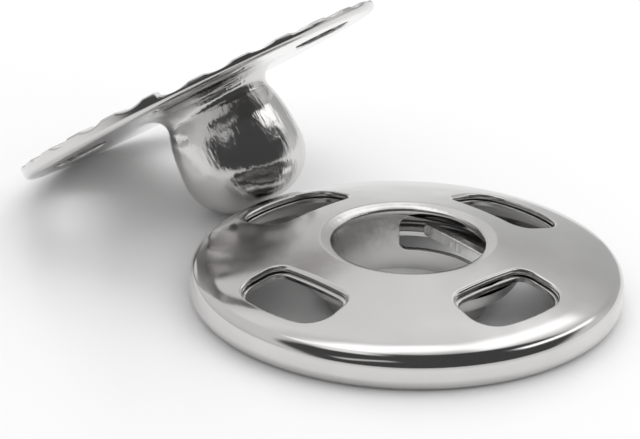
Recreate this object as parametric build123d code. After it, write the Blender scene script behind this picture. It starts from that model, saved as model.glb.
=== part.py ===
import os
from math import asin, atan2, cos, degrees, hypot, radians, sin, tan

from build123d import *

# Sew-on snap fastener with its two metal halves apart. The socket half lies flat
# with its mating face up, and the stud half is tipped over beside it.
# Millimetres, +Z up. The origin is on the socket half's axis, level with its underside.

# Socket half, all of its sizes on the outer skin of the front shell
sheet = 0.20
socket_radius = 7.50
curl_radius = 0.48
land_width = 0.45
land_inner_radius = socket_radius - curl_radius - land_width
shoulder_radius = 0.54
shoulder_height = 0.84

# Domed face, made of arcs that meet where the sheet leans by these angles
edge_lean = 25.0
edge_radius = 3.00
face_lean = 14.5
face_radius = 80.0

# Throat: a tight lip, a steep entry and the neck below it
throat_radius = 0.370 * socket_radius
throat_height = 1.94
lip_radius = 0.22
entry_lean = 68.0
entry_run = 0.08
neck_narrowing = 0.17
neck_bottom_radius = throat_radius - neck_narrowing

# Windows in the neck that the spring reaches through, and the way they face
window_count = 2
window_azimuth = 42.5
window_half_angle = 53.0
window_bottom = 0.72
window_top = 1.88
window_corner = 0.30

# Sewing holes, drawn as on the hole that lies along +X
hole_count = 4
hole_first_azimuth = 45.0
hole_shift_x = -0.25
hole_inner = 0.547 * socket_radius
hole_inner_half_width = 0.240 * socket_radius
hole_outer = 0.845 * socket_radius
hole_outer_half_width = 0.270 * socket_radius
hole_inner_corner = 0.083 * socket_radius
hole_outer_corner = 0.127 * socket_radius
hole_edge_rounding = 0.12
plate_hole_inset = 0.12

# Spring of one bent flat strip: two arms that cross the throat, joined round the neck
spring_azimuth = 38.3
spring_width = 0.40
spring_height = 0.44
spring_edge = 0.06
spring_seat_gap = 0.01
spring_neck_gap = 0.12
arm_offset = 0.83 * throat_radius
arm_free_end = 0.61 * throat_radius
bow_radius = throat_radius + sheet + spring_neck_gap + spring_width / 2
bow_corner = 0.45

# Back plate nested under the front shell, with a tray round the neck for the spring
plate_sheet = 0.18
nest_gap = 0.03
tray_top = 1.26
tray_neck_gap = 0.05
tray_inner_radius = throat_radius + sheet + tray_neck_gap
tray_spring_gap = 0.20
plate_step_run = 0.28
plate_step_radius = bow_radius + spring_width / 2 + tray_spring_gap + plate_step_run

# Stud half, its heights counted from its fabric side
stud_disc_radius = 6.93
stud_disc_off_centre = 0.33
stud_disc_off_azimuth = -43.0
stud_flat_overlap = 0.60
stud_disc_thickness = 0.53
stud_rim_rounding = 0.22
stud_lap = 0.17
stud_curl_width = 0.90
stud_length = 4.93
stud_head_radius = 0.820 * throat_radius
stud_tip_radius = 0.758 * stud_head_radius
stud_neck_taper = 8.9
stud_neck_foot = 1.30
stud_foot_blend = 0.85
stud_foot_pull = 0.50
stud_foot_lean = 0.06
stud_edge_rounding = 0.10
wave_count = 25
wave_depth = 0.11
wave_cutter_radius = 1.50
wave_land = 0.13
wave_phase = 1.0
lap_start = -123.2
lap_waves = 12
lap_sweep = lap_waves * 360 / wave_count

# Where the stud half rests: its round tip reaches in over the socket half's rim at an
# azimuth, and its axis leans along another
tip_overhang = 0.559
tip_azimuth = 129.273
lean_azimuth = 141.39

# How far cutters reach past what they cut
cutter_reach = 1.0


def polar(radius, azimuth):
    """Point in plan at a radius and an azimuth in degrees."""
    return (radius * cos(radians(azimuth)), radius * sin(radians(azimuth)))


def stepped_centre(centre, radius, next_radius, lean):
    """Centre of the next arc of the dome, which meets the last one where the sheet leans."""
    step = next_radius - radius
    return (centre[0] - step * sin(radians(lean)), centre[1] - step * cos(radians(lean)))


def dome_centres():
    """Centres of the shoulder, edge and face arcs."""
    shoulder = (socket_radius - shoulder_radius, shoulder_height)
    edge = stepped_centre(shoulder, shoulder_radius, edge_radius, edge_lean)
    face = stepped_centre(edge, edge_radius, face_radius, face_lean)
    return shoulder, edge, face


def face_height(radius, depth):
    """Height of the face at a radius, at a depth under the skin."""
    _, _, centre = dome_centres()
    return centre[1] + ((face_radius - depth) ** 2 - (radius - centre[0]) ** 2) ** 0.5


def lip_place():
    """Centre of the lip's arc, and the lean of the sheet where the face meets it."""
    _, _, face_centre = dome_centres()
    middle = throat_radius + entry_run + lip_radius * sin(radians(entry_lean))
    lean = asin((middle - face_centre[0]) / (face_radius - lip_radius))
    return (middle, face_centre[1] + (face_radius - lip_radius) * cos(lean)), degrees(lean)


def dome_line(depth, inner_angle):
    """Arcs of the skin from the curled edge to an angle on the face, at a depth."""
    shoulder, edge, face = dome_centres()
    curl_centre = (socket_radius - curl_radius, curl_radius)
    wall = socket_radius - depth
    return [
        CenterArc(curl_centre, curl_radius - depth, -90, 90),
        Line((wall, curl_radius), (wall, shoulder_height)),
        CenterArc(shoulder, shoulder_radius - depth, 0, 90 - edge_lean),
        CenterArc(edge, edge_radius - depth, 90 - edge_lean, edge_lean - face_lean),
        CenterArc(face, face_radius - depth, 90 - face_lean, inner_angle - 90 + face_lean),
    ]


def front_skin(depth):
    """Front shell's section line from its curled edge to the foot of its neck."""
    lip_centre, lip_lean = lip_place()
    lip_start = 90 - lip_lean
    lip_end = 90 + entry_lean
    reach = lip_radius - depth
    entry_top = (
        lip_centre[0] + reach * cos(radians(lip_end)),
        lip_centre[1] + reach * sin(radians(lip_end)),
    )
    entry_low = (throat_radius + depth, throat_height)
    return [
        Line((land_inner_radius, depth), (socket_radius - curl_radius, depth)),
        *dome_line(depth, lip_start),
        CenterArc(lip_centre, reach, lip_start, lip_end - lip_start),
        Line(entry_top, entry_low),
        Line(entry_low, (neck_bottom_radius + depth, 0)),
    ]


def turned(edges):
    """Solid of revolution about +Z of a section drawn as radius and height."""
    section = Plane.XZ * make_face(edges)
    return revolve(section, Axis.Z)


def sewing_outline(inset, share):
    """Outline of the sewing hole along +X at a share of its size, drawn in by an inset."""
    inner = hole_inner * share + inset
    outer = hole_outer * share - inset
    inner_half = hole_inner_half_width * share - inset
    outer_half = hole_outer_half_width * share - inset
    corner_reach = (outer**2 - outer_half**2) ** 0.5
    sides = [
        Line((inner, inner_half), (inner, -inner_half)),
        Line((inner, -inner_half), (corner_reach, -outer_half)),
        ThreePointArc((corner_reach, -outer_half), (outer, 0), (corner_reach, outer_half)),
        Line((corner_reach, outer_half), (inner, inner_half)),
    ]
    outline = make_face(sides)
    middle = (inner + outer) / 2
    inner_corners = [v for v in outline.vertices() if v.X < middle]
    outline = fillet(inner_corners, hole_inner_corner * share - inset / 2)
    outer_corners = [v for v in outline.vertices() if v.X > middle and abs(v.Y) > 0.9 * outer_half]
    return fillet(outer_corners, hole_outer_corner * share - inset / 2)


def sewing_cutters(middle, inset, share, low, high):
    """Upright cutters for the sewing holes of one half, round a middle point in plan."""
    cutter = extrude(Pos(0, 0, low) * sewing_outline(inset, share), high - low)
    azimuths = [hole_first_azimuth + 360 / hole_count * k for k in range(hole_count)]
    return [Pos(middle[0], middle[1], 0) * Rot(0, 0, azimuth) * cutter for azimuth in azimuths]


def neck_windows():
    """Cutters for the two windows in the neck."""
    inner = neck_bottom_radius - 3 * sheet
    outer = throat_radius + 3 * sheet
    pane = Plane.XZ * make_face(
        Polyline((inner, window_bottom), (outer, window_bottom), (outer, window_top), (inner, window_top), close=True)
    )
    cutter = revolve(pane, Axis.Z, 2 * window_half_angle)
    corners = [e for e in cutter.edges() if e.geom_type == GeomType.LINE and abs(e.tangent_at(0.5).Z) < 0.5]
    cutter = fillet(corners, window_corner)
    first = window_azimuth - window_half_angle
    return [Rot(0, 0, first + 360 / window_count * k) * cutter for k in range(window_count)]


def make_socket_shell():
    """Front shell: one pressed sheet with curled rim, domed face and windowed neck."""
    outer = front_skin(0)
    inner = front_skin(sheet)
    raw_edge = Line(outer[0] @ 0, inner[0] @ 0)
    neck_edge = Line(outer[-1] @ 1, inner[-1] @ 1)
    shell = turned(outer + inner + [raw_edge, neck_edge])
    top = face_height(throat_radius, 0) + cutter_reach
    for cutter in sewing_cutters((hole_shift_x, 0), 0, 1, shoulder_height, top):
        shell -= cutter
    rims = []
    for edge in shell.edges():
        middle = edge.position_at(0.5)
        radius = hypot(middle.X, middle.Y)
        on_face = abs(middle.Z - face_height(radius, 0)) < sheet / 4
        if hole_inner - 0.35 < radius < hole_outer + 0.35 and on_face:
            rims.append(edge)
    shell = fillet(rims, hole_edge_rounding)
    for cutter in neck_windows():
        shell -= cutter
    return shell


def plate_line(depth, foot, step_radius):
    """Back plate's section line at a depth under the skin, from its foot to its step."""
    shoulder, edge, face = dome_centres()
    wall = socket_radius - depth
    step = (step_radius, face_height(step_radius, depth))
    step_angle = degrees(atan2(step[1] - face[1], step[0] - face[0]))
    line = [
        Line(foot, (wall, shoulder_height)),
        CenterArc(shoulder, shoulder_radius - depth, 0, 90 - edge_lean),
        CenterArc(edge, edge_radius - depth, 90 - edge_lean, edge_lean - face_lean),
        CenterArc(face, face_radius - depth, 90 - face_lean, step_angle - 90 + face_lean),
    ]
    return line, step


def make_back_plate():
    """Back plate: rim held in the curl, dome under the face, and the spring's tray."""
    top_depth = sheet + nest_gap
    low_depth = top_depth + plate_sheet
    tray_low = tray_top - plate_sheet
    foot = sheet + nest_gap
    foot_edge = socket_radius - curl_radius + nest_gap
    foot_corner = (socket_radius - top_depth, curl_radius)
    foot_low = (socket_radius - low_depth, foot)
    top_line, step_top = plate_line(top_depth, foot_corner, plate_step_radius)
    low_line, step_low = plate_line(low_depth, foot_low, plate_step_radius + plate_sheet)
    tray_edge = plate_step_radius - plate_step_run
    edges = [
        Line(foot_low, (foot_edge, foot)),
        Line((foot_edge, foot), foot_corner),
        *top_line,
        Line(step_top, (tray_edge, tray_top)),
        Line((tray_edge, tray_top), (tray_inner_radius, tray_top)),
        Line((tray_inner_radius, tray_top), (tray_inner_radius, tray_low)),
        Line((tray_inner_radius, tray_low), (tray_edge + plate_sheet, tray_low)),
        Line((tray_edge + plate_sheet, tray_low), step_low),
        *low_line,
    ]
    plate = turned(edges)
    top = face_height(throat_radius, 0) + cutter_reach
    for cutter in sewing_cutters((hole_shift_x, 0), plate_hole_inset, 1, curl_radius, top):
        plate -= cutter
    return plate


def make_spring():
    """Spring: one flat strip bent into two straight arms and a bow round the neck."""
    bow_reach = (bow_radius**2 - arm_offset**2) ** 0.5
    path = Polyline((-arm_free_end, arm_offset), (bow_reach, arm_offset)) + ThreePointArc(
        (bow_reach, arm_offset), (bow_radius, 0), (bow_reach, -arm_offset)
    )
    path += Line((bow_reach, -arm_offset), (-arm_free_end, -arm_offset))
    corners = [v for v in path.vertices() if abs(v.X - bow_reach) < 0.01]
    path = fillet(corners, bow_corner)
    start = path @ 0
    along = path % 0
    section = Plane(origin=start, x_dir=(0, 0, 1), z_dir=along) * RectangleRounded(spring_height, spring_width, spring_edge)
    strip = sweep(section, path=path, transition=Transition.RIGHT)
    seat = tray_top + spring_seat_gap + spring_height / 2
    return Pos(0, 0, seat) * Rot(0, 0, spring_azimuth - 90) * strip


def stud_wall(depth):
    """Stud's section line from the foot of its wall to its tip, at a depth under the skin."""
    taper = radians(stud_neck_taper)
    tip_centre = (stud_head_radius - stud_tip_radius, stud_length - stud_tip_radius)
    reach = stud_tip_radius - depth
    side = (tip_centre[0] + reach * cos(taper), tip_centre[1] - reach * sin(taper))
    foot = (side[0] - (side[1] - stud_neck_foot) * tan(taper), stud_neck_foot)
    return foot, side, tip_centre, reach


def foot_blend(start, foot):
    """Hollow curve from the disc's face at start up to the foot of the stud's wall."""
    start_pull = (start[0] - stud_foot_pull, start[1])
    foot_pull = (foot[0] - stud_foot_lean, foot[1] - stud_foot_pull)
    return Bezier(start, start_pull, foot_pull, foot)


def stud_section():
    """Closed section of the hollow stud and the flat of the disc round its foot."""
    foot, side, tip_centre, reach = stud_wall(0)
    hollow_foot, hollow_side, _, hollow_reach = stud_wall(sheet)
    disc_low = stud_disc_thickness - sheet
    blend_start = (foot[0] + stud_foot_blend, stud_disc_thickness)
    hollow_blend_start = (hollow_foot[0] + stud_foot_blend, disc_low)
    flat_end = blend_start[0] + stud_flat_overlap
    outer_blend = foot_blend(blend_start, foot)
    inner_blend = foot_blend(hollow_blend_start, hollow_foot)
    round_sweep = 90 + stud_neck_taper
    return [
        Line((flat_end, stud_disc_thickness), blend_start),
        outer_blend,
        Line(foot, side),
        CenterArc(tip_centre, reach, -stud_neck_taper, round_sweep),
        Line((tip_centre[0], stud_length), (0, stud_length)),
        Line((0, stud_length), (0, stud_length - sheet)),
        Line((0, stud_length - sheet), (tip_centre[0], stud_length - sheet)),
        CenterArc(tip_centre, hollow_reach, -stud_neck_taper, round_sweep),
        Line(hollow_side, hollow_foot),
        inner_blend,
        Line(hollow_blend_start, (flat_end, disc_low)),
        Line((flat_end, disc_low), (flat_end, stud_disc_thickness)),
    ]


def disc_section():
    """Closed section of the disc with the low curl that runs all round it."""
    foot, _, _, _ = stud_wall(0)
    disc_low = stud_disc_thickness - sheet
    rim_middle = stud_disc_radius - stud_rim_rounding
    curl_inner = stud_disc_radius - stud_curl_width
    flat_start = foot[0] + stud_foot_blend + stud_flat_overlap / 2
    return [
        Line((curl_inner, stud_lap), (stud_disc_radius, stud_lap)),
        Line((stud_disc_radius, stud_lap), (stud_disc_radius, stud_disc_thickness - stud_rim_rounding)),
        CenterArc((rim_middle, stud_disc_thickness - stud_rim_rounding), stud_rim_rounding, 0, 90),
        Line((rim_middle, stud_disc_thickness), (flat_start, stud_disc_thickness)),
        Line((flat_start, stud_disc_thickness), (flat_start, disc_low)),
        Line((flat_start, disc_low), (curl_inner, disc_low)),
        Line((curl_inner, disc_low), (curl_inner, stud_lap)),
    ]


def stud_collar():
    """Part of the curled edge that stands proud of the fabric side, up to its step."""
    inner = stud_disc_radius - stud_curl_width
    outer = stud_disc_radius
    rounding = stud_edge_rounding
    high = stud_disc_thickness - stud_rim_rounding
    section = Plane.XZ * make_face(
        [
            Line((inner, 0), (outer - rounding, 0)),
            CenterArc((outer - rounding, rounding), rounding, -90, 90),
            Line((outer, rounding), (outer, high)),
            Line((outer, high), (inner, high)),
            Line((inner, high), (inner, 0)),
        ]
    )
    return Rot(0, 0, lap_start) * revolve(section, Axis.Z, lap_sweep)


def crimped_disc():
    """Disc with its curled edge and the crimps round it, centred on its own axis."""
    disc = turned(disc_section()) + stud_collar()
    wave = Rot(0, 90, 0) * Cylinder(wave_cutter_radius, stud_curl_width)
    wave_low = wave_cutter_radius - wave_depth
    wave_middle = stud_disc_radius - stud_curl_width / 2 + wave_land
    for k in range(wave_count):
        azimuth = wave_phase + 360 / wave_count * k
        proud = (azimuth - lap_start) % 360 < lap_sweep
        low = 0 if proud else stud_lap
        middle = polar(wave_middle, azimuth)
        disc -= Pos(middle[0], middle[1], low - wave_low) * Rot(0, 0, azimuth) * wave
    return disc


def rest_plane():
    """Frame of the stud half at rest, with its rim and its tip both on the ground."""
    low_reach = stud_disc_radius - stud_rim_rounding + polar(stud_disc_off_centre, stud_disc_off_azimuth)[0]
    across = low_reach - (stud_head_radius - stud_tip_radius)
    along = stud_length - stud_tip_radius - (stud_disc_thickness - stud_rim_rounding)
    lean = atan2(along, across) + asin((stud_tip_radius - stud_rim_rounding) / hypot(across, along))
    toward = polar(1, lean_azimuth)
    low = (toward[0] * cos(lean), toward[1] * cos(lean), -sin(lean))
    stud_way = (-toward[0] * sin(lean), -toward[1] * sin(lean), -cos(lean))
    height = low_reach * sin(lean)
    height += (stud_disc_thickness - stud_rim_rounding) * cos(lean) + stud_rim_rounding
    tip_middle = polar(socket_radius + stud_head_radius - tip_overhang, tip_azimuth)
    along_stud = stud_length - stud_tip_radius
    rest_x = tip_middle[0] - stud_way[0] * along_stud
    rest_y = tip_middle[1] - stud_way[1] * along_stud
    return Plane(origin=(rest_x, rest_y, height), x_dir=low, z_dir=stud_way)


def make_stud_half():
    """Stud half: crimped disc with four sewing holes, drawn out into one hollow stud."""
    off = polar(stud_disc_off_centre, stud_disc_off_azimuth)
    half = turned(stud_section()) + Pos(off[0], off[1], 0) * crimped_disc()
    share = stud_disc_radius / socket_radius
    for cutter in sewing_cutters(off, 0, share, -cutter_reach, stud_disc_thickness + cutter_reach):
        half -= cutter
    return rest_plane() * half


os.makedirs("parts", exist_ok=True)
export_step(make_socket_shell(), "parts/socket_shell.step")
export_step(make_back_plate(), "parts/back_plate.step")
export_step(make_spring(), "parts/s_spring.step")
export_step(make_stud_half(), "parts/stud_half.step")
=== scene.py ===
import math

import bpy
import numpy as np
from mathutils import Matrix
from mathutils.geometry import delaunay_2d_cdt


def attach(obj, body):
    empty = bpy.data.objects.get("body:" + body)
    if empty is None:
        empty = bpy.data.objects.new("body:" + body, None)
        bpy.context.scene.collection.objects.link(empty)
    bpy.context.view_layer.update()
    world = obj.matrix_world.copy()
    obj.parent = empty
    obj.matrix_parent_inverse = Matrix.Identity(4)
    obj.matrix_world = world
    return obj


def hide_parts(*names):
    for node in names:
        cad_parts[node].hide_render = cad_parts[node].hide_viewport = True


# A sew-on snap fastener on a pale floor: the socket half lying flat, the stud half
# tipped over beside it. Shapes are worked out in millimetres and made in metres.

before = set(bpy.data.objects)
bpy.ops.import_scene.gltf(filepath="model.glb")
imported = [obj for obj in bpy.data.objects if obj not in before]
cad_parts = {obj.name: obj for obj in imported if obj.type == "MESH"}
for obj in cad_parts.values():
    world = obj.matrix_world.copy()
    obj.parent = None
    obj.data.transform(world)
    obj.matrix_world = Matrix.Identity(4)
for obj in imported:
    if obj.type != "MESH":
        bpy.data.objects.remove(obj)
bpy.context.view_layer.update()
METRE = 0.001

# Sizes of the socket half, as in its solids. Leans, azimuths and half angles are in degrees
SHEET = 0.20
SOCKET_RADIUS = 7.50
CURL_RADIUS = 0.48
LAND_INNER_RADIUS = 6.57
SHOULDER_RADIUS = 0.54
SHOULDER_HEIGHT = 0.84
EDGE_LEAN = 25.0
EDGE_RADIUS = 3.00
FACE_LEAN = 14.5
FACE_RADIUS = 80.0
THROAT_RADIUS = 2.775
THROAT_HEIGHT = 1.94
LIP_RADIUS = 0.22
ENTRY_LEAN = 68.0
ENTRY_RUN = 0.08
NECK_BOTTOM_RADIUS = 2.605
WINDOW_AZIMUTH = 42.5
WINDOW_HALF_ANGLE = 53.0
WINDOW_BOTTOM = 0.72
WINDOW_TOP = 1.88
WINDOW_CORNER = 0.30
HOLE_SHIFT_X = -0.25
HOLE_INNER = 4.1025
HOLE_INNER_HALF = 1.80
HOLE_OUTER = 6.3375
HOLE_OUTER_HALF = 2.025
HOLE_INNER_CORNER = 0.6225
HOLE_OUTER_CORNER = 0.9525
HOLE_ROUNDING = 0.12
PLATE_HOLE_INSET = 0.12
PLATE_SHEET = 0.18
NEST_GAP = 0.03
PLATE_STEP_RADIUS = 3.975
PLATE_STEP_RUN = 0.28
TRAY_INNER_RADIUS = 3.025
TRAY_TOP = 1.26
SPRING_AZIMUTH = 38.3
SPRING_WIDTH = 0.40
SPRING_HEIGHT = 0.44
SPRING_EDGE = 0.06
SPRING_SEAT = 1.27
ARM_OFFSET = 2.303
ARM_FREE_END = 1.693
BOW_RADIUS = 3.295

# Sizes of the stud half, as in its solid. Heights are counted from its fabric side
DISC_RADIUS = 6.93
DISC_OFF = (0.2413, -0.2251)
DISC_THICKNESS = 0.53
RIM_ROUNDING = 0.22
LAP = 0.17
CURL_WIDTH = 0.90
STUD_LENGTH = 4.93
HEAD_RADIUS = 2.2755
TIP_RADIUS = 1.7248
NECK_TAPER = math.radians(8.9)
NECK_FOOT = 1.30
FOOT_BLEND = 0.85
FOOT_PULL = 0.50
STUD_HOLE_SHARE = 0.924
WAVES = 25
WAVE_DEPTH = 0.11
WAVE_HALF_ANGLE = 4.66
WAVE_PHASE = 1.0
LAP_START = -123.2
LAP_SWEEP = 172.8
REST = (-7.331, 8.33)
LEAN_AZIMUTH = math.radians(141.39)

# Finer shape that only the pieces drawn here have: the lip's bevel, whose lean changes by
# twice BEVEL_BEND, and its turn into the neck
BEVEL_LEAN = 21.5
BEVEL_BEND = 4.0
BEVEL_RUN = 0.27
TURN_RUN = 0.09
TURN_PULL = (0.01, -0.08)

# The back plate's step down to its tray
STEP_BEND = 0.12
STEP_EASE = 0.048
STEP_PULL = 0.10
STEP_RISE = 0.01

# The spring's corner between arm and bow, where the bow ends short by an angle in radians
CORNER_RUN = 0.279
CORNER_PULL_IN = 0.08
CORNER_PULL_OUT = (0.10, -0.12)
BOW_CLIP = 0.16

# The stud's tapers at its foot and at its widest round
FOOT_TAPER = math.radians(19.0)
SIDE_TAPER = math.radians(1.5)

# Roundings of edges, bends in the holes' outer sides, and the angle in degrees over which
# the curled edge steps up
SHEET_EDGE = 0.03
PUNCHED_EDGE = 0.04
DISC_HOLE_ROUNDING = 0.08
CURL_OUTER_ROUNDING = 0.10
CURL_INNER_ROUNDING = 0.05
HOLE_BOW_BEND = 0.60
LAP_EDGE = 0.35

# How finely the surfaces are drawn: columns round the axis and round the curled edge, the
# distance within which points are joined, and the strip without free points round holes
AROUND = 360
RIM_COLUMNS = 1080
WELD = 0.0004
PLATE_MARGIN = 0.06
WINDOW_MARGIN = 0.03

# Least radius at the axis, least height of the rim's lower rounding, and how far inside
# the stud's opening the rings of points start
AXIS_GAP = 0.0005
LEAST_ROUNDING = 0.012
OPENING_SLACK = 0.50


class Skin:
    """Faces with a normal at each corner, gathered and then welded into one mesh."""

    def __init__(self):
        self.places = []
        self.normals = []
        self.faces = []

    def add(self, places, normals, faces):
        start = sum(len(p) for p in self.places)
        self.places.append(np.asarray(places, float))
        self.normals.append(np.asarray(normals, float))
        self.faces.extend([tuple(start + i for i in face) for face in faces])

    def grid(self, places, normals, closed_across=False):
        """Quads between rows of points. places and normals are rows by columns by 3."""
        rows, columns = places.shape[:2]
        faces = []
        for low in range(0, (rows - 1) * columns, columns):
            high = low + columns
            for j in range(columns if closed_across else columns - 1):
                k = (j + 1) % columns
                faces.append((low + j, low + k, high + k, high + j))
        self.add(places.reshape(-1, 3), normals.reshape(-1, 3), faces)

    def mesh(self, name, place=None):
        """Makes the object. place is a rotation and an origin for the points, in millimetres."""
        places = np.vstack(self.places)
        normals = np.vstack(self.normals)
        normals = normals / np.maximum(np.linalg.norm(normals, axis=1, keepdims=True), 1e-12)
        if place is not None:
            turn, origin = place
            places = places @ turn.T + origin
            normals = normals @ turn.T
        keys = np.round(places / WELD).astype(np.int64)
        _, first, index = np.unique(keys, axis=0, return_index=True, return_inverse=True)
        index = index.reshape(-1)
        faces = []
        corners = []
        for face in self.faces:
            ring = [int(index[i]) for i in face]
            kept = [n for n in range(len(ring)) if ring[n] != ring[n - 1]]
            if len(kept) < 3 or len({ring[n] for n in kept}) < len(kept):
                continue
            corner_ids = [face[n] for n in kept]
            ring = [ring[n] for n in kept]
            a, b, c = (places[corner_ids[n]] for n in (0, 1, 2))
            facing = np.cross(b - a, c - b) @ normals[corner_ids].sum(axis=0)
            if facing < 0:
                ring.reverse()
                corner_ids.reverse()
            faces.append(ring)
            corners.extend(corner_ids)
        data = bpy.data.meshes.new(name)
        data.from_pydata((places[first] * METRE).tolist(), [], faces)
        data.polygons.foreach_set("use_smooth", [True] * len(faces))
        data.normals_split_custom_set(normals[corners].tolist())
        data.update()
        piece = bpy.data.objects.new(name, data)
        bpy.context.collection.objects.link(piece)
        return piece


def around(count=AROUND):
    """Azimuths of the columns of a turned surface."""
    return np.radians(np.arange(count) * 360.0 / count)


def turned(skin, section, slopes):
    """Adds a surface of revolution. section has (r, z) rows and slopes their normals."""
    angle = around()
    c, s = np.cos(angle), np.sin(angle)

    def spun(rows):
        rows = np.asarray(rows, float)
        return np.stack([rows[:, :1] * c, rows[:, :1] * s, np.repeat(rows[:, 1:], len(angle), 1)], -1)

    skin.grid(spun(section), spun(slopes), closed_across=True)


def band(skin, start, end, normal):
    """Adds a surface of revolution with a straight section between two (r, z) points."""
    turned(skin, [start, end], [normal, normal])


def arc(centre, radius, start, end, count=10, outward=1.0):
    """Points and normals of an arc between two angles in degrees."""
    angle = np.radians(np.linspace(start, end, count))
    way = np.stack([np.cos(angle), np.sin(angle)], 1)
    return np.asarray(centre) + radius * way, outward * way


def bezier(points, count=24):
    """Points and left-hand normals of a cubic Bezier curve."""
    p = np.asarray(points, float)
    t = np.linspace(0, 1, count)[:, None]
    s = 1 - t
    place = p[0] * s**3 + 3 * p[1] * t * s**2 + 3 * p[2] * t**2 * s + p[3] * t**3
    way = 3 * ((p[1] - p[0]) * s**2 + 2 * (p[2] - p[1]) * t * s + (p[3] - p[2]) * t**2)
    way = way / np.linalg.norm(way, axis=1, keepdims=True)
    return place, np.stack([-way[:, 1], way[:, 0]], 1)


def rounded_loop(corners, radii, step=0.05):
    """Closed outline with rounded corners: points and outward normals, anticlockwise."""
    points, normals = [], []
    count = len(corners)
    corners = [np.asarray(c, float) for c in corners]
    for k in range(count):
        before, here, after = corners[k - 1], corners[k], corners[(k + 1) % count]
        way_in = (here - before) / np.linalg.norm(here - before)
        way_out = (after - here) / np.linalg.norm(after - here)
        turn = math.acos(max(-1, min(1, float(way_in @ way_out))))
        radius = radii[k]
        reach = radius * math.tan(turn / 2)
        start = here - way_in * reach
        left = np.array([-way_in[1], way_in[0]])
        centre = start + left * radius
        begin = math.atan2(-left[1], -left[0])
        steps = max(2, int(math.ceil(radius * turn / step)))
        for i in range(steps + 1):
            angle = begin + turn * i / steps
            way = np.array([math.cos(angle), math.sin(angle)])
            points.append(centre + radius * way)
            normals.append(way)
        next_after = corners[(k + 2) % count]
        next_out = (next_after - after) / np.linalg.norm(next_after - after)
        next_turn = math.acos(max(-1, min(1, float(way_out @ next_out))))
        end = after - way_out * radii[(k + 1) % count] * math.tan(next_turn / 2)
        begin_run = points[-1]
        runs = max(1, int(np.linalg.norm(end - begin_run) / step))
        for i in range(1, runs):
            points.append(begin_run + (end - begin_run) * (i / runs))
            normals.append(np.array([way_out[1], -way_out[0]]))
    return np.array(points), np.array(normals)


def hole_loop(share):
    """Outline of the sewing hole along +X at a share of its size, its outer side bowed."""
    inner, outer = HOLE_INNER * share, HOLE_OUTER * share
    half_in, half_out = HOLE_INNER_HALF * share, HOLE_OUTER_HALF * share
    spread = math.asin(half_out / outer)
    bow = [(outer * math.cos(a), outer * math.sin(a)) for a in np.linspace(-spread, spread, 9)]
    between = bow[2:-2]
    corners = [(inner, -half_in), bow[0], *between, bow[-1], (inner, half_in)]
    inner_corner, outer_corner = HOLE_INNER_CORNER * share, HOLE_OUTER_CORNER * share
    radii = [inner_corner, outer_corner, *[HOLE_BOW_BEND] * len(between), outer_corner, inner_corner]
    return rounded_loop(corners, radii)


def hole_loops(share, middle):
    """The four sewing holes' outlines of one half, in plan round a middle."""
    points, normals = hole_loop(share)
    loops = []
    for k in range(4):
        a = math.radians(45 + 90 * k)
        turn = np.array([[math.cos(a), -math.sin(a)], [math.sin(a), math.cos(a)]])
        loops.append((points @ turn.T + middle, normals @ turn.T))
    return loops


def inside(points, loop):
    """Which points lie inside a closed outline."""
    x, y = points[:, 0], points[:, 1]
    result = np.zeros(len(points), bool)
    x2, y2 = loop[:, 0], loop[:, 1]
    x1, y1 = np.roll(x2, 1), np.roll(y2, 1)
    for k in range(len(loop)):
        crosses = (y1[k] > y) != (y2[k] > y)
        if crosses.any():
            at = (x2[k] - x1[k]) * (y - y1[k]) / (y2[k] - y1[k] + 1e-30) + x1[k]
            result ^= crosses & (x < at)
    return result


def fill(rows, loops, margin, keep):
    """Triangulates points in plan round closed holes. rows are the free points, and loops
    hold the holes' outlines and outward normals."""
    free = rows
    for loop, normals in loops:
        free = free[~inside(free, loop + normals * margin)]
    parts = [free] + [loop for loop, _ in loops]
    edges = []
    start = len(free)
    for loop, _ in loops:
        count = len(loop)
        edges.extend([(start + i, start + (i + 1) % count) for i in range(count)])
        start += count
    points = np.vstack(parts)
    result = delaunay_2d_cdt(points.tolist(), edges, [], 0, 1e-7)
    places = np.array([tuple(v) for v in result[0]])
    faces = np.array([tuple(f) for f in result[2]])
    middle = places[faces].mean(axis=1)
    good = keep(middle)
    for loop, _ in loops:
        good &= ~inside(middle, loop)
    return places, faces[good]


def neck_radius(z):
    """Inner radius of the neck tube, which narrows evenly from the lip to its foot."""
    return NECK_BOTTOM_RADIUS + (THROAT_RADIUS - NECK_BOTTOM_RADIUS) * z / THROAT_HEIGHT


def circle_loop(radius):
    """Outline of the round opening for the stud: points and outward normals."""
    angle = around()
    ways = np.stack([np.cos(angle), np.sin(angle)], 1)
    return radius * ways, ways


def plate_with_holes(
    skin, inner, outer, rings, height, holes, spread, side, middle=(0, 0), opening=None
):
    """Adds a sheet's face between two radii round a middle, with holes drawn wider by a spread.

    opening is the outline of the round hole for the stud, where it isn't at the middle."""
    angle = around()
    radii = np.linspace(inner, outer, rings)
    rows = np.vstack([np.stack([r * np.cos(angle), r * np.sin(angle)], 1) for r in radii]) + middle
    loops = [(points + normals * spread, normals) for points, normals in holes]
    if opening is not None:
        loops.append(opening)
    low, high = inner * math.cos(math.pi / AROUND) - 1e-4, outer + 1e-4

    def keep(faces_middle):
        radius = np.hypot(*(faces_middle - middle).T)
        return (radius > low) & (radius < high)

    places, faces = fill(rows, loops, PLATE_MARGIN, keep)
    way = places - middle
    radius = np.hypot(way[:, 0], way[:, 1])
    z, slope = height(radius)
    normals = np.column_stack([-slope[:, None] * way / radius[:, None], np.ones(len(places))])
    skin.add(np.column_stack([places, z]), normals * side, faces.tolist())


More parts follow.
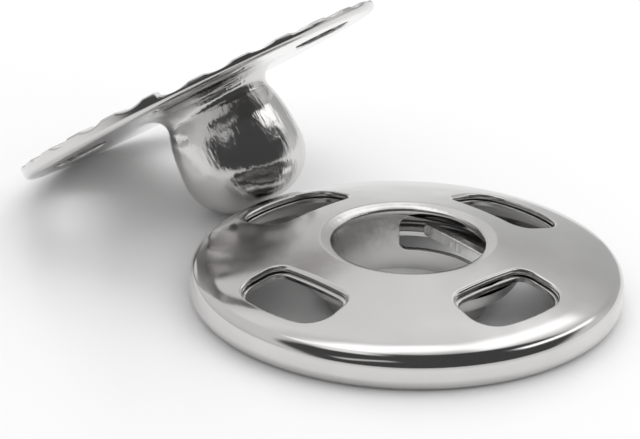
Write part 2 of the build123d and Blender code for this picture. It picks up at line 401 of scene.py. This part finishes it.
def hole_edge(skin, holes, top, bottom, rounding):
    """Adds the walls of openings between two sheet faces, rounded where they meet them."""
    quarter = np.linspace(0, math.pi / 2, 7)
    ends = ((top, rounding, 1.0, quarter), (bottom, PUNCHED_EDGE, -1.0, quarter[::-1]))
    for points, normals in holes:
        level_normals = np.column_stack([normals, np.zeros(len(normals))])
        rows, ways = [], []
        for face, edge, side, angles in ends:
            for a in angles:
                plan = points + normals * edge * (1 - math.sin(a))
                radius = np.hypot(plan[:, 0], plan[:, 1])
                z, slope = face(radius)
                rows.append(np.column_stack([plan, z - side * edge * (1 - math.cos(a))]))
                upward = np.column_stack([-slope[:, None] * plan / radius[:, None], np.ones(len(plan))])
                upward /= np.linalg.norm(upward, axis=1, keepdims=True)
                ways.append(side * upward * math.cos(a) - level_normals * math.sin(a))
        skin.grid(np.array(rows), np.array(ways), closed_across=True)


def stepped_centre(centre, radius, next_radius, lean):
    """Centre of the next arc of the dome, which meets the last one where the sheet leans."""
    step = next_radius - radius
    a = math.radians(lean)
    return (centre[0] - step * math.sin(a), centre[1] - step * math.cos(a))


SHOULDER_SWEEP = 90 - EDGE_LEAN
SHOULDER_CENTRE = (SOCKET_RADIUS - SHOULDER_RADIUS, SHOULDER_HEIGHT)
EDGE_CENTRE = stepped_centre(SHOULDER_CENTRE, SHOULDER_RADIUS, EDGE_RADIUS, EDGE_LEAN)
FACE_CENTRE = stepped_centre(EDGE_CENTRE, EDGE_RADIUS, FACE_RADIUS, FACE_LEAN)
LIP_MIDDLE = THROAT_RADIUS + ENTRY_RUN + LIP_RADIUS * math.sin(math.radians(ENTRY_LEAN))
LIP_LEAN = math.asin((LIP_MIDDLE - FACE_CENTRE[0]) / (FACE_RADIUS - LIP_RADIUS))
LIP_CENTRE = (LIP_MIDDLE, FACE_CENTRE[1] + (FACE_RADIUS - LIP_RADIUS) * math.cos(LIP_LEAN))


def dome(depth):
    """Height and slope of the domed face against the radius, at a depth under the skin."""
    split = EDGE_CENTRE[0] + (EDGE_RADIUS - depth) * math.sin(math.radians(FACE_LEAN))

    def height(r):
        r = np.asarray(r, float)
        far = np.sqrt(np.maximum((EDGE_RADIUS - depth) ** 2 - (r - EDGE_CENTRE[0]) ** 2, 1e-9))
        near = np.sqrt((FACE_RADIUS - depth) ** 2 - (r - FACE_CENTRE[0]) ** 2)
        level = np.where(r > split, EDGE_CENTRE[1] + far, FACE_CENTRE[1] + near)
        slope = np.where(r > split, -(r - EDGE_CENTRE[0]) / far, -(r - FACE_CENTRE[0]) / near)
        return level, slope

    return height


def dome_ends(depth):
    """Inner and outer radius of the domed face at a depth, where lip and shoulder start."""
    inner = LIP_CENTRE[0] + (LIP_RADIUS - depth) * math.sin(LIP_LEAN)
    outer = SHOULDER_CENTRE[0] + (SHOULDER_RADIUS - depth) * math.sin(math.radians(EDGE_LEAN))
    return inner, outer


def neck_with_windows(skin):
    """Adds the neck tube: both of its faces and the cut edges of its two windows."""
    scale = neck_radius(WINDOW_TOP / 2)
    start = math.radians(WINDOW_AZIMUTH + 90)
    half = math.radians(WINDOW_HALF_ANGLE) * scale
    lean = math.atan((THROAT_RADIUS - NECK_BOTTOM_RADIUS) / THROAT_HEIGHT)
    columns = np.linspace(0, 2 * math.pi, AROUND + 1) * scale
    levels = np.linspace(0, THROAT_HEIGHT, 19)
    rows = np.array([(s, z) for z in levels for s in columns])
    box = [(-half, WINDOW_BOTTOM), (half, WINDOW_BOTTOM), (half, WINDOW_TOP), (-half, WINDOW_TOP)]
    outline, ways = rounded_loop(box, [WINDOW_CORNER] * 4)
    loops = [(outline + [math.pi / 2 * scale * (1 + 2 * k), 0], ways) for k in range(2)]

    def wrap(flat, depth):
        """Points of the flat pattern brought round the tube, and their azimuths."""
        angle = flat[:, 0] / scale + start
        radius = neck_radius(flat[:, 1]) + depth
        return np.column_stack([radius * np.cos(angle), radius * np.sin(angle), flat[:, 1]]), angle

    def facing(angle, side):
        drop = np.full(len(angle), math.sin(lean))
        level = math.cos(lean)
        return side * np.column_stack([np.cos(angle) * level, np.sin(angle) * level, -drop])

    for depth, side in ((0.0, -1.0), (SHEET, 1.0)):
        widened = [(points + normals * SHEET_EDGE, normals) for points, normals in loops]
        places, faces = fill(rows, widened, WINDOW_MARGIN, lambda middle: np.ones(len(middle), bool))
        level, angle = wrap(places, depth)
        skin.add(level, facing(angle, side), faces.tolist())
    quarter = np.linspace(0, math.pi / 2, 4)
    for points, normals in loops:
        rings, bends = [], []
        for side, angles in ((-1.0, quarter), (1.0, quarter[::-1])):
            for a in angles:
                flat = points + normals * SHEET_EDGE * (1 - math.sin(a))
                sink = SHEET_EDGE * (1 - math.cos(a))
                place, angle = wrap(flat, sink if side < 0 else SHEET - sink)
                tangent = np.column_stack([-np.sin(angle), np.cos(angle)]) * normals[:, :1]
                across = np.column_stack([tangent, normals[:, 1]])
                rings.append(place)
                bends.append(facing(angle, side) * math.cos(a) - across * math.sin(a))
        skin.grid(np.array(rings), np.array(bends), closed_across=True)


def lip(skin, depth, side):
    """Adds one face of the lip: its crown, the bevel inside it and the turn into the neck."""
    reach = LIP_RADIUS - depth
    leans = (BEVEL_LEAN - BEVEL_BEND, BEVEL_LEAN, BEVEL_LEAN + BEVEL_BEND)
    start_fall, fall, end_fall = (np.array([1, math.tan(math.radians(lean))]) for lean in leans)
    crown = 90 + leans[0]
    turned(skin, *arc(LIP_CENTRE, reach, 90 - math.degrees(LIP_LEAN), crown, 10, side))
    a = math.radians(crown)
    top = np.array([LIP_CENTRE[0] + reach * math.cos(a), LIP_CENTRE[1] + reach * math.sin(a)])
    bevel_end = top - (BEVEL_RUN - depth / 2) * fall
    third = BEVEL_RUN / 3
    curve = [top, top - third * start_fall, bevel_end + third * end_fall, bevel_end]
    section, left = bezier(curve, 12)
    turned(skin, section, -left * side)
    turn = bevel_end - TURN_RUN * end_fall
    low = (THROAT_RADIUS + depth, THROAT_HEIGHT)
    section, left = bezier([bevel_end, turn, turn + TURN_PULL, low], 16)
    turned(skin, section, -left * side)


def make_socket_shell():
    skin = Skin()
    curl_centre = (SOCKET_RADIUS - CURL_RADIUS, CURL_RADIUS)
    land_edge = LAND_INNER_RADIUS + SHEET_EDGE
    inner_wall = SOCKET_RADIUS - SHEET
    band(skin, (curl_centre[0], 0), (land_edge, 0), (0, -1))
    turned(skin, *arc(curl_centre, CURL_RADIUS, -90, 0, 14))
    band(skin, (SOCKET_RADIUS, CURL_RADIUS), (SOCKET_RADIUS, SHOULDER_HEIGHT), (1, 0))
    turned(skin, *arc(SHOULDER_CENTRE, SHOULDER_RADIUS, 0, SHOULDER_SWEEP, 16))
    lip(skin, 0.0, 1.0)
    lip(skin, SHEET, -1.0)
    holes = hole_loops(1.0, [HOLE_SHIFT_X, 0])
    top, under = dome(0), dome(SHEET)
    plate_with_holes(skin, *dome_ends(0), 44, top, holes, HOLE_ROUNDING, 1.0)
    plate_with_holes(skin, *dome_ends(SHEET), 24, under, holes, PUNCHED_EDGE, -1.0)
    hole_edge(skin, holes, top, under, HOLE_ROUNDING)
    turned(skin, *arc(SHOULDER_CENTRE, SHOULDER_RADIUS - SHEET, 0, SHOULDER_SWEEP, 10, -1.0))
    turned(skin, *arc(curl_centre, CURL_RADIUS - SHEET, -90, 0, 8, -1.0))
    band(skin, (inner_wall, CURL_RADIUS), (inner_wall, SHOULDER_HEIGHT), (-1, 0))
    band(skin, (LAND_INNER_RADIUS, SHEET), (curl_centre[0], SHEET), (0, 1))
    turned(skin, *arc((land_edge, SHEET_EDGE), SHEET_EDGE, 180, 270, 4))
    band(skin, (LAND_INNER_RADIUS, SHEET_EDGE), (LAND_INNER_RADIUS, SHEET), (-1, 0))
    neck_with_windows(skin)
    band(skin, (NECK_BOTTOM_RADIUS, 0), (NECK_BOTTOM_RADIUS + SHEET, 0), (0, -1))
    return skin.mesh("socket_shell_skin")


def make_back_plate():
    skin = Skin()
    top_depth = SHEET + NEST_GAP
    low_depth = top_depth + PLATE_SHEET
    top, under = dome(top_depth), dome(low_depth)
    step_low_radius = PLATE_STEP_RADIUS + PLATE_SHEET
    step_top = (PLATE_STEP_RADIUS, float(top(PLATE_STEP_RADIUS)[0]))
    step_low = (step_low_radius, float(under(step_low_radius)[0]))
    holes = []
    for points, normals in hole_loops(1.0, [HOLE_SHIFT_X, 0]):
        holes.append((points - normals * PLATE_HOLE_INSET, normals))
    plate_with_holes(skin, step_top[0], dome_ends(top_depth)[1], 36, top, holes, PUNCHED_EDGE, 1.0)
    plate_with_holes(skin, step_low[0], dome_ends(low_depth)[1], 24, under, holes, PUNCHED_EDGE, -1.0)
    hole_edge(skin, holes, top, under, PUNCHED_EDGE)

    foot = top_depth
    foot_edge = SOCKET_RADIUS - CURL_RADIUS + NEST_GAP
    wall_out, wall_in = SOCKET_RADIUS - top_depth, SOCKET_RADIUS - low_depth
    turned(skin, *arc(SHOULDER_CENTRE, SHOULDER_RADIUS - top_depth, 0, SHOULDER_SWEEP, 8))
    band(skin, (wall_out, CURL_RADIUS), (wall_out, SHOULDER_HEIGHT), (1, 0))
    band(skin, (foot_edge, foot), (wall_out, CURL_RADIUS), (0.7, -0.7))
    band(skin, (wall_in, foot), (foot_edge, foot), (0, -1))
    band(skin, (wall_in, SHOULDER_HEIGHT), (wall_in, foot), (-1, 0))
    turned(skin, *arc(SHOULDER_CENTRE, SHOULDER_RADIUS - low_depth, 0, SHOULDER_SWEEP, 4, -1.0))

    tray_low = TRAY_TOP - PLATE_SHEET
    tray_edge = PLATE_STEP_RADIUS - PLATE_STEP_RUN
    low_edge = tray_edge + PLATE_SHEET
    tray_inner = TRAY_INNER_RADIUS + SHEET_EDGE
    fall = (step_top[0] - STEP_PULL, step_top[1] + STEP_RISE)
    ease, tray_start = (tray_edge + STEP_EASE, TRAY_TOP), (tray_edge - STEP_BEND, TRAY_TOP)
    section, left = bezier([step_top, fall, ease, tray_start], 16)
    turned(skin, section, -left)
    band(skin, tray_start, (tray_inner, TRAY_TOP), (0, 1))
    turned(skin, *arc((tray_inner, TRAY_TOP - SHEET_EDGE), SHEET_EDGE, 90, 180, 4))
    band(skin, (TRAY_INNER_RADIUS, TRAY_TOP - SHEET_EDGE), (TRAY_INNER_RADIUS, tray_low), (-1, 0))
    tray_start, ease = (low_edge - STEP_BEND, tray_low), (low_edge + STEP_EASE, tray_low)
    band(skin, (TRAY_INNER_RADIUS, tray_low), tray_start, (0, -1))
    section, left = bezier([tray_start, ease, (step_low[0] - STEP_PULL, step_low[1]), step_low], 14)
    turned(skin, section, -left)
    return skin.mesh("back_plate_skin")


def spring_path():
    """Centre line of the spring's strip in plan, its left-hand normals and its directions."""
    reach = math.sqrt(BOW_RADIUS**2 - ARM_OFFSET**2)
    corner = np.array([reach, ARM_OFFSET])
    bow_end = math.degrees(math.atan2(ARM_OFFSET, reach) - BOW_CLIP)
    bow = arc((0, 0), BOW_RADIUS, bow_end, -bow_end, 60)[0]
    before = corner - [CORNER_RUN, 0]
    arm = np.linspace([-ARM_FREE_END, ARM_OFFSET], before, 40)
    pulls = [corner - [CORNER_PULL_IN, 0], corner + CORNER_PULL_OUT]
    bend = bezier([before, *pulls, bow[0]], 14)[0][1:-1]
    half = np.vstack([arm, bend])
    path = np.vstack([half, bow, (half * [1, -1])[::-1]])
    way = np.gradient(path, axis=0)
    way /= np.linalg.norm(way, axis=1, keepdims=True)
    return path, np.stack([-way[:, 1], way[:, 0]], 1), way


def make_spring():
    skin = Skin()
    path, left, way = spring_path()
    half_w, half_h = SPRING_WIDTH / 2, SPRING_HEIGHT / 2
    corners = [(half_w, -half_h), (half_w, half_h), (-half_w, half_h), (-half_w, -half_h)]
    section, facing = rounded_loop(corners, [SPRING_EDGE] * 4, step=0.03)
    middle = SPRING_SEAT + half_h
    places, normals = [], []
    for point, side in zip(path, left):
        across = section[:, :1] * side
        places.append(np.column_stack([point + across, middle + section[:, 1]]))
        normals.append(np.column_stack([facing[:, :1] * side, facing[:, 1]]))
    skin.grid(np.array(places), np.array(normals), closed_across=True)
    for index, sign in ((0, -1.0), (-1, 1.0)):
        ring = np.array(places[index])
        end = np.append(way[index] * sign, 0)
        skin.add(ring, np.repeat([end], len(ring), 0), [tuple(range(len(ring)))])
    a = math.radians(SPRING_AZIMUTH - 90)
    turn = np.array([[math.cos(a), -math.sin(a), 0], [math.sin(a), math.cos(a), 0], [0, 0, 1]])
    return skin.mesh("spring_skin", (turn, np.zeros(3)))


def rest_place():
    """Rotation and origin of the stud half, its rim and its tip both on the ground."""
    low_reach = DISC_RADIUS - RIM_ROUNDING + DISC_OFF[0]
    across = low_reach - (HEAD_RADIUS - TIP_RADIUS)
    along = STUD_LENGTH - TIP_RADIUS - (DISC_THICKNESS - RIM_ROUNDING)
    lean = math.atan2(along, across) + math.asin((TIP_RADIUS - RIM_ROUNDING) / math.hypot(across, along))
    toward = np.array([math.cos(LEAN_AZIMUTH), math.sin(LEAN_AZIMUTH), 0])
    up = np.array([0, 0, 1.0])
    low = toward * math.cos(lean) - up * math.sin(lean)
    stud_way = -toward * math.sin(lean) - up * math.cos(lean)
    side = np.cross(stud_way, low)
    height = low_reach * math.sin(lean)
    height += (DISC_THICKNESS - RIM_ROUNDING) * math.cos(lean) + RIM_ROUNDING
    return np.column_stack([low, side, stud_way]), np.array([REST[0], REST[1], height])


def fabric_level(azimuth):
    """Height of the curled edge's fabric side: its step and its crimped waves."""
    degrees = np.degrees(azimuth)
    pitch = 360.0 / WAVES
    phase = (degrees - WAVE_PHASE + pitch / 2) % pitch - pitch / 2
    scoop = WAVE_DEPTH * np.maximum(1 - (phase / WAVE_HALF_ANGLE) ** 2, 0)
    along = (degrees - LAP_START) % 360
    proud = np.clip(along / LAP_EDGE, 0, 1) * np.clip((LAP_SWEEP - along) / LAP_EDGE, 0, 1)
    proud = proud * proud * (3 - 2 * proud)
    return LAP * (1 - proud) + scoop


def stud_wall(depth):
    """The stud's wall at a depth: its foot, where the tip's arc starts, and that arc."""
    tip_centre = (HEAD_RADIUS - TIP_RADIUS, STUD_LENGTH - TIP_RADIUS)
    reach = TIP_RADIUS - depth

    def tip_point(taper):
        return tip_centre[0] + reach * math.cos(taper), tip_centre[1] - reach * math.sin(taper)

    straight = tip_point(NECK_TAPER)
    foot = (straight[0] - (straight[1] - NECK_FOOT) * math.tan(NECK_TAPER), NECK_FOOT)
    return foot, tip_point(SIDE_TAPER), tip_centre, reach


def stud_side(foot, side):
    """Points and normals of the stud's side, its taper easing off toward the tip."""
    third = (side[1] - foot[1]) / 3
    low = (foot[0] + third * math.tan(FOOT_TAPER), foot[1] + third)
    high = (side[0] - third * math.tan(SIDE_TAPER), side[1] - third)
    return bezier([foot, low, high, side], 16)


def foot_blend(start, end):
    """Curve from the disc into the stud's foot."""
    bent = (end[0] - FOOT_PULL * math.tan(FOOT_TAPER), end[1] - FOOT_PULL)
    return [start, (start[0] - FOOT_PULL, start[1]), bent, end]


def level_plate(z):
    """Height and slope of a flat face, against the radius."""

    def height(r):
        return np.full(np.shape(r), z), np.zeros(np.shape(r))

    return height


RIM_MIDDLE = DISC_RADIUS - RIM_ROUNDING
CURL_INNER = DISC_RADIUS - CURL_WIDTH
DISC_LOW = DISC_THICKNESS - SHEET


def curled_edge(skin):
    """Adds the disc's rim and its curled edge, crimped on its fabric side."""
    angle = around(RIM_COLUMNS)
    c, s = np.cos(angle), np.sin(angle)
    level = fabric_level(angle)
    grade = np.gradient(level, angle[1] - angle[0])
    rows, ways = [], []

    def add_row(radius, z, normal_r, normal_z, tilt=0.0):
        heights = np.broadcast_to(z, angle.shape)
        rows.append(np.column_stack([DISC_OFF[0] + radius * c, DISC_OFF[1] + radius * s, heights]))
        slope = tilt * grade / radius
        plain = np.full(RIM_COLUMNS, normal_z)
        ways.append(np.column_stack([normal_r * c - slope * s, normal_r * s + slope * c, plain]))

    top_centre = DISC_THICKNESS - RIM_ROUNDING
    for a in np.linspace(math.pi / 2, 0, 10):
        z = top_centre + RIM_ROUNDING * math.sin(a)
        add_row(RIM_MIDDLE + RIM_ROUNDING * math.cos(a), z, math.cos(a), math.sin(a))
    round_low = np.minimum(CURL_OUTER_ROUNDING, np.maximum(top_centre - level, LEAST_ROUNDING))
    for a in np.linspace(0, math.pi / 2, 8):
        radius = DISC_RADIUS - CURL_OUTER_ROUNDING * (1 - math.cos(a))
        z = level + round_low * (1 - math.sin(a))
        add_row(radius, z, math.cos(a), -math.sin(a), math.sin(a))
    round_middle = CURL_INNER + CURL_INNER_ROUNDING
    add_row(round_middle, level, 0, -1, 1.0)
    skin.grid(np.array(rows), np.array(ways), closed_across=True)
    rows.clear()
    ways.clear()
    for a in np.linspace(math.pi / 2, math.pi, 5):
        radius = round_middle + CURL_INNER_ROUNDING * math.cos(a)
        z = np.minimum(level + CURL_INNER_ROUNDING * (1 - math.sin(a)), DISC_LOW)
        add_row(radius, z, math.cos(a), -math.sin(a), math.sin(a))
    add_row(CURL_INNER, DISC_LOW, -1, 0)
    skin.grid(np.array(rows), np.array(ways), closed_across=True)


def make_stud_half():
    skin = Skin()
    foot, side, tip_centre, reach = stud_wall(0)
    hollow_foot, hollow_side, _, hollow_reach = stud_wall(SHEET)
    blend_start = (foot[0] + FOOT_BLEND, DISC_THICKNESS)
    hollow_start = (hollow_foot[0] + FOOT_BLEND, DISC_LOW)
    taper = math.degrees(SIDE_TAPER)
    low_tip = STUD_LENGTH - SHEET
    section, left = bezier(foot_blend(blend_start, foot), 22)
    turned(skin, section, -left)
    section, left = stud_side(foot, side)
    turned(skin, section, -left)
    turned(skin, *arc(tip_centre, reach, -taper, 90, 28))
    band(skin, (tip_centre[0], STUD_LENGTH), (AXIS_GAP, STUD_LENGTH), (0, 1))
    turned(skin, *bezier(foot_blend(hollow_start, hollow_foot), 16))
    turned(skin, *stud_side(hollow_foot, hollow_side))
    turned(skin, *arc(tip_centre, hollow_reach, -taper, 90, 14, -1.0))
    band(skin, (tip_centre[0], low_tip), (AXIS_GAP, low_tip), (0, -1))

    holes = hole_loops(STUD_HOLE_SHARE, DISC_OFF)
    top, under = level_plate(DISC_THICKNESS), level_plate(DISC_LOW)
    inner = hollow_start[0] - OPENING_SLACK
    opening = circle_loop(blend_start[0])
    plate_with_holes(
        skin, inner, RIM_MIDDLE, 30, top, holes, DISC_HOLE_ROUNDING, 1.0, DISC_OFF, opening
    )
    opening = circle_loop(hollow_start[0])
    plate_with_holes(
        skin, inner, CURL_INNER, 20, under, holes, PUNCHED_EDGE, -1.0, DISC_OFF, opening
    )
    hole_edge(skin, holes, top, under, DISC_HOLE_ROUNDING)
    curled_edge(skin)
    return skin.mesh("stud_half_skin", rest_place())


class Tree:
    """Short calls for building a material's or the world's nodes."""

    def __init__(self, tree):
        self.tree = tree
        tree.nodes.clear()

    def node(self, kind, values=None, **settings):
        made = self.tree.nodes.new(kind)
        for key, value in settings.items():
            setattr(made, key, value)
        for key, value in (values or {}).items():
            if isinstance(value, bpy.types.NodeSocket):
                self.tree.links.new(value, made.inputs[key])
            else:
                made.inputs[key].default_value = value
        return made

    def math(self, operation, a, b=0.0):
        return self.node("ShaderNodeMath", {0: a, 1: b}, operation=operation).outputs[0]

    def dot(self, vector, way):
        values = {0: vector, 1: tuple(float(v) for v in way)}
        return self.node("ShaderNodeVectorMath", values, operation="DOT_PRODUCT").outputs["Value"]

    def noise(self, place, scale, detail):
        values = {"Vector": place, "Scale": scale, "Detail": detail}
        return self.node("ShaderNodeTexNoise", values).outputs["Fac"]

    def mapped(self, value, start, end, at_start, at_end, kind="LINEAR"):
        """A value that runs from at_start to at_end while the one given runs from start to end."""
        values = {"Value": value, "From Min": start, "From Max": end, "To Min": at_start, "To Max": at_end}
        return self.node("ShaderNodeMapRange", values, interpolation_type=kind).outputs[0]

    def mix(self, factor, a, b):
        values = {"Factor": factor, "A": a, "B": b}
        return self.node("ShaderNodeMix", values, data_type="FLOAT").outputs[0]


# Nickel plate: scales of its noises, depths of their relief in millimetres, how far the
# handling haze changes the roughness, and the radii between which wear sets in
MARK_SCALE = 13.0
MARK_SQUEEZE = 0.12
SWELL_SCALE = 520.0
SWELL_DEPTH = 0.016
GRAIN_SCALE = 6500.0
GRAIN_DEPTH = 0.00022
HAZE_SCALE = 640.0
HAZE_SPREAD = 0.8
HAZE_LEAST = 0.6
HAZE_TONE = 0.96
WEAR_START = 5.6
WEAR_END = 6.5


def metal(name, tone, rough, axis, drawn, drawn_depth):
    """Bright nickel plate: even colour, soft unevenness, handling haze and drawing marks.

    rough holds its roughness near the axis and near the rim. axis is a rotation and an origin
    in millimetres. The drawing marks run along its third direction and fade out between the
    two distances from it in drawn."""
    made = bpy.data.materials.new(name)
    made.use_nodes = True
    t = Tree(made.node_tree)
    place = t.node("ShaderNodeTexCoord").outputs["Object"]
    turn, origin = axis
    middle = [float(v) * METRE for v in origin]
    offset = t.node("ShaderNodeVectorMath", {0: place, 1: middle}, operation="SUBTRACT").outputs[0]
    x, y, z = (t.math("DIVIDE", t.dot(offset, turn[:, k]), METRE) for k in range(3))
    radius = t.math("SQRT", t.math("ADD", t.math("POWER", x, 2.0), t.math("POWER", y, 2.0)))
    round_axis = {
        "X": t.math("DIVIDE", x, radius),
        "Y": t.math("DIVIDE", y, radius),
        "Z": t.math("MULTIPLY", z, MARK_SQUEEZE),
    }
    marks = t.noise(t.node("ShaderNodeCombineXYZ", round_axis).outputs[0], MARK_SCALE, 3.0)
    mask = t.mapped(radius, *drawn, 1.0, 0.0, "SMOOTHSTEP")
    height = t.math("MULTIPLY", marks, t.math("MULTIPLY", mask, drawn_depth))
    for scale, detail, depth in ((SWELL_SCALE, 1.0, SWELL_DEPTH), (GRAIN_SCALE, 3.0, GRAIN_DEPTH)):
        height = t.math("ADD", height, t.math("MULTIPLY", t.noise(place, scale, detail), depth))
    bump = t.node("ShaderNodeBump", {"Height": height, "Strength": 1.0, "Distance": METRE})
    haze = t.noise(place, HAZE_SCALE, 2.0)
    worn = t.mapped(radius, WEAR_START, WEAR_END, *rough)
    uneven = t.math("ADD", t.math("MULTIPLY", haze, HAZE_SPREAD), HAZE_LEAST)
    ramp = t.node("ShaderNodeValToRGB", {"Fac": haze})
    for element, position, share in zip(ramp.color_ramp.elements, (0.3, 0.7), (HAZE_TONE, 1.0)):
        element.position = position
        element.color = (*[c * share for c in tone], 1)
    look = {
        "Base Color": ramp.outputs[0],
        "Metallic": 1.0,
        "Roughness": t.math("MULTIPLY", worn, uneven),
        "Normal": bump.outputs[0],
    }
    shader = t.node("ShaderNodeBsdfPrincipled", look)
    t.node("ShaderNodeOutputMaterial", {"Surface": shader.outputs[0]})
    return made


# Floor: half its width in metres and its cells along a side, its roughness, and the two
# tones that its mottling runs between
FLOOR_HALF = 0.6
FLOOR_CELLS = 6
FLOOR_ROUGHNESS = 0.30
FLOOR_TONES = (0.90, 0.92)
MOTTLE_SCALE = 40.0


def floor_material():
    made = bpy.data.materials.new("pale_floor")
    made.use_nodes = True
    t = Tree(made.node_tree)
    mottle = t.noise(t.node("ShaderNodeTexCoord").outputs["Object"], MOTTLE_SCALE, 2.0)
    ramp = t.node("ShaderNodeValToRGB", {"Fac": mottle})
    for element, tone in zip(ramp.color_ramp.elements, FLOOR_TONES):
        element.color = (tone, tone, tone, 1)
    look = {"Base Color": ramp.outputs[0], "Roughness": FLOOR_ROUGHNESS}
    shader = t.node("ShaderNodeBsdfPrincipled", look)
    t.node("ShaderNodeOutputMaterial", {"Surface": shader.outputs[0]})
    return made


def make_floor():
    wide = FLOOR_CELLS + 1
    ticks = [FLOOR_HALF * (2 * i / FLOOR_CELLS - 1) for i in range(wide)]
    points = [(x, y, 0.0) for y in ticks for x in ticks]
    corners = [j * wide + i for j in range(FLOOR_CELLS) for i in range(FLOOR_CELLS)]
    faces = [(a, a + 1, a + wide + 1, a + wide) for a in corners]
    data = bpy.data.meshes.new("floor")
    data.from_pydata(points, [], faces)
    floor = bpy.data.objects.new("floor", data)
    bpy.context.collection.objects.link(floor)
    data.materials.append(floor_material())


def soft_patch(t, direction, centre, half_azimuth, half_height, soft, roll):
    """Factor that is 1 inside a soft-edged rectangle of sky round a direction, and 0 outside."""
    azimuth, height = math.radians(centre[0]), math.radians(centre[1])
    toward = np.array([math.cos(azimuth), math.sin(azimuth), 0.0])
    way = toward * math.cos(height) + np.array([0, 0, math.sin(height)])
    side = np.array([-toward[1], toward[0], 0.0])
    up = np.cross(way, side)
    a = math.radians(roll)
    side, up = side * math.cos(a) + up * math.sin(a), up * math.cos(a) - side * math.sin(a)
    ahead = t.dot(direction, way)
    factors = []
    for axis, half in ((side, half_azimuth), (up, half_height)):
        off = t.math("ARCTAN2", t.math("ABSOLUTE", t.dot(direction, axis)), ahead)
        start, end = math.radians(half - soft), math.radians(half + soft)
        factors.append(t.mapped(off, start, end, 1.0, 0.0, "SMOOTHSTEP"))
    return t.math("MULTIPLY", *factors)


# Studio round the object, as soft patches of sky: azimuth and height of the middle in
# degrees (azimuth 0 is +X, -90 the camera's side), half sizes, softness, roll, brightness.
# Dull surfaces are lit by an even sky, and the background behind the floor is white.
SKY_BASE = 0.70
EVEN_SKY = 0.77
BACKGROUND = 1.0
PATCHES = [
    ((60, 12), 24, 20, 10, 0, 0.50),
    ((180, -10), 60, 24, 8, 0, 0.62),
    ((90, 52), 30, 6, 5, 0, 0.84),
    ((-71, 45), 71, 55, 7, 0, 0.06),
    ((-114, 35), 15, 4.5, 3, 39, 0.62),
    ((14, 40), 20, 6.5, 3, -36, 1.50),
    ((115, 69), 18, 5.5, 3, 0, 1.60),
    ((63, 53), 6, 13, 3, 0, 1.50),
    ((170, 74), 12, 9, 5, 0, 1.00),
]


def make_world():
    world = bpy.data.worlds.new("studio")
    bpy.context.scene.world = world
    world.use_nodes = True
    t = Tree(world.node_tree)
    direction = t.node("ShaderNodeTexCoord").outputs["Generated"]
    tone = SKY_BASE
    for centre, half_azimuth, half_height, soft, roll, brightness in PATCHES:
        factor = soft_patch(t, direction, centre, half_azimuth, half_height, soft, roll)
        tone = t.mix(factor, tone, brightness)
    rays = t.node("ShaderNodeLightPath").outputs
    tone = t.mix(rays["Is Glossy Ray"], EVEN_SKY, tone)
    tone = t.mix(rays["Is Camera Ray"], tone, BACKGROUND)
    sky = t.node("ShaderNodeBackground", {"Color": (1, 1, 1, 1), "Strength": tone})
    t.node("ShaderNodeOutputWorld", {"Surface": sky.outputs[0]})


def add_light(name, place, target, size, power):
    """Soft square lamp at a place, facing a target, in millimetres and watts."""
    data = bpy.data.lights.new(name, "AREA")
    data.shape = "RECTANGLE"
    data.size = data.size_y = size * METRE
    data.energy = power
    lamp = bpy.data.objects.new(name, data)
    bpy.context.collection.objects.link(lamp)
    way = np.array(target, float) - np.array(place, float)
    way /= np.linalg.norm(way)
    lamp.location = [v * METRE for v in place]
    lamp.rotation_euler = (math.acos(-way[2]), 0, math.atan2(way[1], way[0]) - math.pi / 2)
    lamp.visible_glossy = False


# Camera: place in millimetres, degrees above the floor's level and of roll, and its lens
CAMERA_PLACE = (-3.049, -179.862, 83.428)
CAMERA_HEIGHT = 24.105
CAMERA_ROLL = 1.482
CAMERA_LENS = 322.648


def make_camera():
    data = bpy.data.cameras.new("camera")
    data.sensor_fit = "HORIZONTAL"
    data.sensor_width = 36.0
    data.lens = CAMERA_LENS
    data.clip_start = 0.002
    data.clip_end = 10.0
    camera = bpy.data.objects.new("camera", data)
    bpy.context.collection.objects.link(camera)
    tilt = Matrix.Rotation(math.radians(90 - CAMERA_HEIGHT), 4, "X")
    roll = Matrix.Rotation(math.radians(CAMERA_ROLL), 4, "Z")
    camera.matrix_world = Matrix.Translation([v * METRE for v in CAMERA_PLACE]) @ tilt @ roll
    bpy.context.scene.camera = camera


make_camera()
make_floor()
make_world()
add_light("back_softbox", (25, 90, 160), (0, 4, 0), 190, 0.15)
add_light("right_fill", (150, -20, 110), (0, 4, 0), 140, 0.06)

upright = (np.eye(3), np.zeros(3))
socket_metal = metal("nickel_socket", (0.725, 0.715, 0.71), (0.20, 0.11), upright, (2.80, 2.95), 0.012)
spring_metal = metal("nickel_spring", (0.90, 0.895, 0.89), (0.16, 0.16), upright, (20.0, 21.0), 0.03)
stud_metal = metal("nickel_stud", (0.70, 0.69, 0.685), (0.11, 0.16), rest_place(), (2.4, 3.3), 0.022)

pieces = [
    (make_socket_shell(), "socket_half", "socket_shell", socket_metal, "plated_sheet"),
    (make_back_plate(), "socket_half", "back_plate", socket_metal, "plated_sheet"),
    (make_spring(), "socket_half", "s_spring", spring_metal, "spring_steel"),
    (make_stud_half(), "loose_stud_half", "stud_half", stud_metal, "plated_sheet"),
]
for piece, body, node, material, slot in pieces:
    piece.data.materials.append(material)
    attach(piece, body)
    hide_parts(node)

bpy.context.scene.view_settings.view_transform = "Standard"
